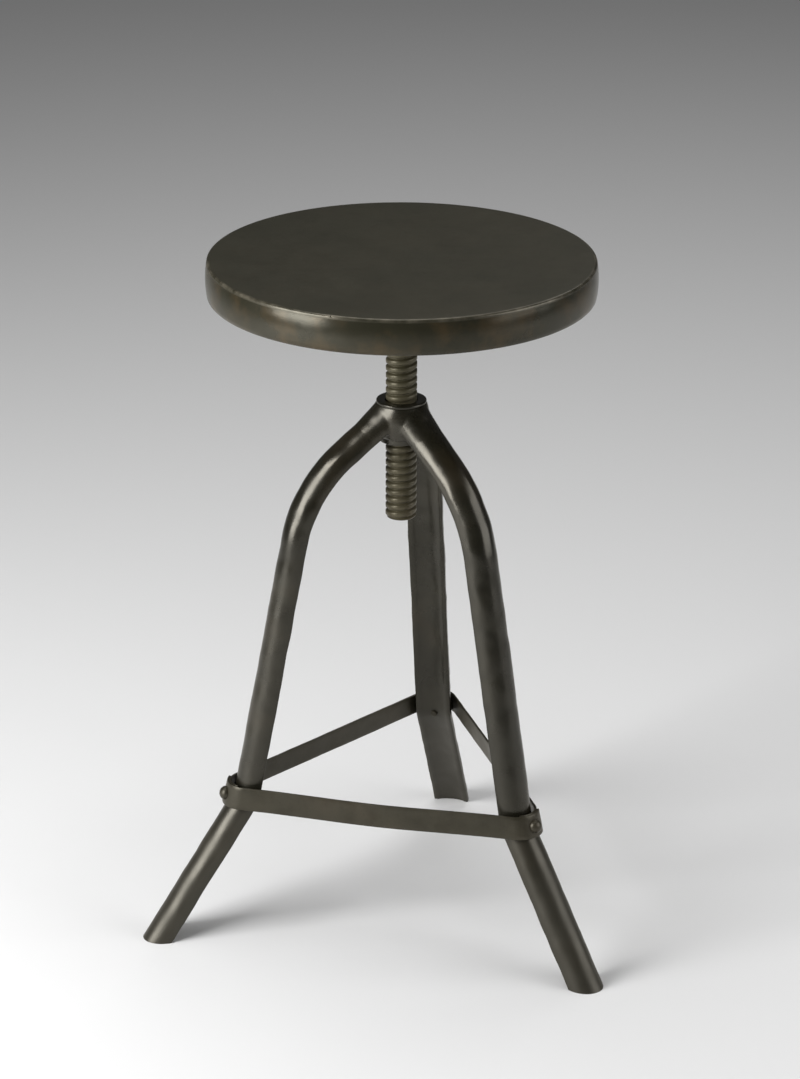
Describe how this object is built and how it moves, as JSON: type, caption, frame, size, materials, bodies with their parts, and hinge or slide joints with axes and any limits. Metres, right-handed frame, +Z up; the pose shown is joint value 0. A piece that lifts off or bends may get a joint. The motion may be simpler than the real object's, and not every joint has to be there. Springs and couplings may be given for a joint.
{
  "type": "swivel stool",
  "caption": "Iron stool with a round seat that turns on a coarse screw to set its height, on bent half-round legs tied by flat riveted straps.",
  "frame": {"origin": "on the screw's axis at floor level, between the feet", "axes": "+Z up along the screw, +Y towards the back leg, +X to the right when the back leg is behind"},
  "size_m": [0.4096, 0.3979, 0.602],
  "materials": {
    "seat": "dark lacquered patina, satin",
    "screw": "dark lacquered patina, satin",
    "frame": "dark lacquered patina, satin",
    "straps": "dark lacquered patina, satin"
  },
  "bodies": {
    "base": {"hub_nut": "frame", "leg_back": "frame", "leg_left": "frame", "leg_right": "frame", "strap_front": "straps", "strap_back_left": "straps", "strap_back_right": "straps", "strap_rivets": "straps"},
    "stop": {"stop_washer": "screw"},
    "seat": {"seat_pan": "seat", "seat_bar_long": "seat", "seat_bar_cross": "seat", "seat_plate": "seat", "spindle": "screw"}
  },
  "joints": [
    {"name": "seat_rise", "type": "slide", "parent": "base", "child": "stop", "axis": [0, 0, 1], "range_m": [-0.103, 0.0651]},
    {"name": "seat_turn", "type": "hinge", "parent": "stop", "child": "seat", "pos_m": [0, 0, 0.4555], "axis": [0, 0, 1], "range_deg": [-5700, 3600]}
  ],
  "couplings": [
    {"joint": "seat_rise", "follows": "seat_turn", "m_per_rad": 0.0010345}
  ]
}
